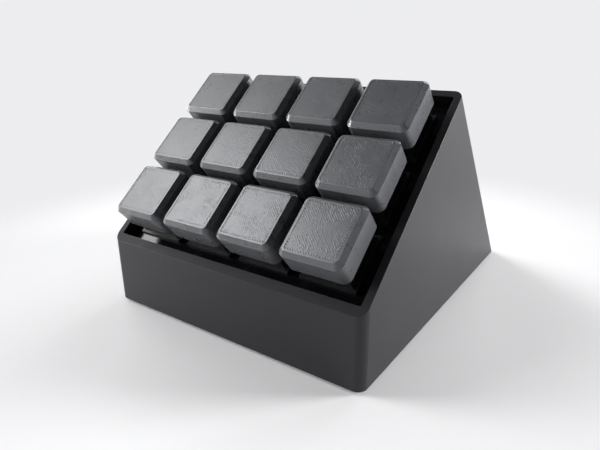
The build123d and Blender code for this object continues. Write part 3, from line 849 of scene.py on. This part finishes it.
class KEYPAD_OT_springs(bpy.types.Operator):
    """Winds the return springs"""

    bl_idname = "keypad.springs"
    bl_label = "Return springs"

    def execute(self, context):
        inside = context.scene.keypad_inside
        finish = metal_finish("spring_steel", inside.steel, roughness=0.25, stretch=(1, 1, 6))
        for joint in frame["joints"]:
            key = joint["child"].removeprefix("key_")
            low, high = deck_box(f"switch_spring_{key}")
            foot, place = deck_place(low, high)
            height = high.z - low.z
            bm = bmesh.new()
            coil_spring(bm, (high.x - low.x) / 2, height, inside)
            bmesh.ops.transform(bm, verts=bm.verts, matrix=place)
            piece = finished_piece(f"spring_{key}", bm, finish, CASE_BODY)
            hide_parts(f"switch_spring_{key}")
            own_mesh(piece)
        return {"FINISHED"}


class KEYPAD_OT_electronics(bpy.types.Operator):
    """Finishes the boards, chip, diodes, ribbon and data socket"""

    bl_idname = "keypad.electronics"
    bl_label = "Electronics"

    def execute(self, context):
        inside = context.scene.keypad_inside
        dress("board_laminate", laminate_finish, inside.laminate)
        dress("chip_plastic", moulded_finish, inside.chip, roughness=0.55, grain_size=0.1 * MM)
        dress("connector_plastic", moulded_finish, inside.connector, roughness=0.45, grain_size=0.1 * MM)
        dress("ribbon_plastic", moulded_finish, inside.ribbon, roughness=0.45, grain_size=0.3 * MM)
        dress("socket_steel", metal_finish, inside.steel, roughness=0.28, stretch=(1, 5, 1))
        return {"FINISHED"}


# Stage

# Distances from the middle over which the floor fades into the backdrop
FADE_RANGE = (0.06, 0.17)
# Upward shares of a direction over which the pale band above the horizon ends
BAND_RANGE = (0.1, 0.45)
FLOOR_SIDES = 96
FIBRE_SIZE = 9.0 * MM
PAPER = {"Roughness": 0.9, "Specular IOR Level": 0.1}
# Soft round lights: degrees from the front and above the floor, metres away and across, watts
LIGHTS = {
    "key_light": (-65, 43, 0.9, 0.44, 3.1),
    "high_light": (-104, 44, 1.1, 0.6, 0.8),
    "left_light": (-108, 14, 1.1, 0.8, 9.0),
    "right_light": (128, 13, 1.2, 0.5, 21.5),
    "front_light": (-63, 5, 0.9, 0.45, 10.5),
    "back_light": (180, 39, 1.1, 0.7, 4.0),
}


def seen_rays(finish):
    """1 for the rays that show the backdrop: straight to the camera, in gloss or through glass."""
    path = finish.node("LightPath")
    seen = finish.value(path, "Is Camera Ray")
    for ray in ("Is Glossy Ray", "Is Transmission Ray"):
        seen = seen.most(finish.value(path, ray))
    return seen


def floor_finish(stage):
    """Pale paper that keeps the shadow near the object and fades into the backdrop far away."""
    finish = Finish("backdrop_paper", PAPER)
    length = finish.node("VectorMath", {"operation": "LENGTH"}, {0: finish.place()})
    distance = finish.value(length, "Value")
    fibre = finish.noise(FIBRE_SIZE, detail=3.0)
    finish.set("Base Color", finish.drift(fibre, stage.floor_colour, low=0.97, high=1.0))
    seen = seen_rays(finish)
    paper = finish.shader.outputs["BSDF"]
    white = finish.node("Emission", inputs={"Color": opaque(stage.backdrop), "Strength": seen * stage.glow})
    near = finish.node("AddShader", inputs={0: paper, 1: white.outputs["Emission"]})
    far = finish.node("Emission", inputs={"Color": opaque(stage.backdrop), "Strength": 1.0})
    fade = distance.between(*FADE_RANGE) * seen
    shaders = {0: fade, 1: near.outputs["Shader"], 2: far.outputs["Emission"]}
    shown = finish.node("MixShader", inputs=shaders)
    output = finish.tree.nodes["Material Output"]
    finish.feed(output.inputs["Surface"], shown.outputs["Shader"])
    return finish.material


def soft_light(name, azimuth, elevation, distance, size, power, aim):
    """Round soft light. Azimuth 0 is in front of the object and 90 to its right."""
    lamp = bpy.data.lights.new(name, "AREA")
    lamp.shape = "DISK"
    lamp.size = size
    lamp.energy = power
    light = bpy.data.objects.new(name, lamp)
    bpy.context.scene.collection.objects.link(light)
    turn = Euler((0, 0, radians(azimuth))).to_matrix() @ Euler((-radians(elevation), 0, 0)).to_matrix()
    out = turn @ Vector((0, -1, 0))
    light.location = aim + distance * out
    light.rotation_euler = out.to_track_quat("Z", "Y").to_euler()


class Surroundings(Finish):
    """The world's own nodes."""

    def __init__(self, name):
        self.world = bpy.data.worlds.new(name)
        self.world.use_nodes = True
        self.tree = self.world.node_tree
        self.shader = self.tree.nodes["Background"]


def pale_world(stage):
    """Dim even light, a pale backdrop for the camera, and a pale band above the horizon for gloss."""
    world = Surroundings("pale_world")
    bpy.context.scene.world = world.world
    up = world.split(world.node("TexCoord").outputs["Generated"])[2]
    path = world.node("LightPath")
    gloss = world.value(path, "Is Glossy Ray").most(world.value(path, "Is Transmission Ray"))
    band = gloss * (1.0 - up.between(*BAND_RANGE))
    shown = world.value(path, "Is Camera Ray").most(band)
    world.set("Color", world.mix(shown, stage.ambient, stage.backdrop))


class KEYPAD_OT_stage(bpy.types.Operator):
    """Makes the pale floor, the soft lights and the camera"""

    bl_idname = "keypad.stage"
    bl_label = "Stage"

    def execute(self, context):
        stage = context.scene.keypad_stage
        bm = bmesh.new()
        bmesh.ops.create_circle(bm, cap_ends=True, segments=FLOOR_SIDES, radius=stage.floor_radius)
        mesh = bpy.data.meshes.new("floor")
        bm.to_mesh(mesh)
        bm.free()
        mesh.materials.append(floor_finish(stage))
        floor = bpy.data.objects.new("floor", mesh)
        context.scene.collection.objects.link(floor)
        pale_world(stage)
        aim = (Vector(CAD_BOX[0]) + Vector(CAD_BOX[1])) / 2
        for name, (azimuth, elevation, distance, size, power) in LIGHTS.items():
            soft_light(name, azimuth, elevation, distance, size, power * stage.light, aim)
        lens = bpy.data.cameras.new("photo_camera")
        lens.lens = stage.lens
        camera = bpy.data.objects.new("photo_camera", lens)
        camera.location = stage.camera_place
        camera.rotation_euler = stage.camera_turn
        context.scene.collection.objects.link(camera)
        context.scene.camera = camera
        context.scene.view_settings.view_transform = "Standard"
        return {"FINISHED"}


class KEYPAD_PT_sidebar(bpy.types.Panel):
    """Lists the steps that dress the keypad"""

    bl_idname = "KEYPAD_PT_sidebar"
    bl_label = "Macro keypad"
    bl_space_type = "VIEW_3D"
    bl_region_type = "UI"
    bl_category = "Keypad"

    def draw(self, context):
        for step in STEPS:
            self.layout.operator(step.bl_idname)


STEPS = (
    KEYPAD_OT_case_shell,
    KEYPAD_OT_plate,
    KEYPAD_OT_keycaps,
    KEYPAD_OT_base,
    KEYPAD_OT_switches,
    KEYPAD_OT_springs,
    KEYPAD_OT_electronics,
    KEYPAD_OT_stage,
)
SETTINGS = {
    "keypad_caps": KeypadCaps,
    "keypad_case": KeypadCase,
    "keypad_inside": KeypadInside,
    "keypad_stage": KeypadStage,
}


def register():
    for name, group in SETTINGS.items():
        bpy.utils.register_class(group)
        setattr(bpy.types.Scene, name, PointerProperty(type=group))
    for step in (*STEPS, KEYPAD_PT_sidebar):
        bpy.utils.register_class(step)


def unregister():
    for step in (KEYPAD_PT_sidebar, *reversed(STEPS)):
        bpy.utils.unregister_class(step)
    for name, group in reversed(SETTINGS.items()):
        delattr(bpy.types.Scene, name)
        bpy.utils.unregister_class(group)


def main():
    register()
    bpy.ops.keypad.case_shell()
    bpy.ops.keypad.plate()
    bpy.ops.keypad.keycaps()
    bpy.ops.keypad.base()
    bpy.ops.keypad.switches()
    bpy.ops.keypad.springs()
    bpy.ops.keypad.electronics()
    bpy.ops.keypad.stage()


if __name__ == "__main__":
    main()
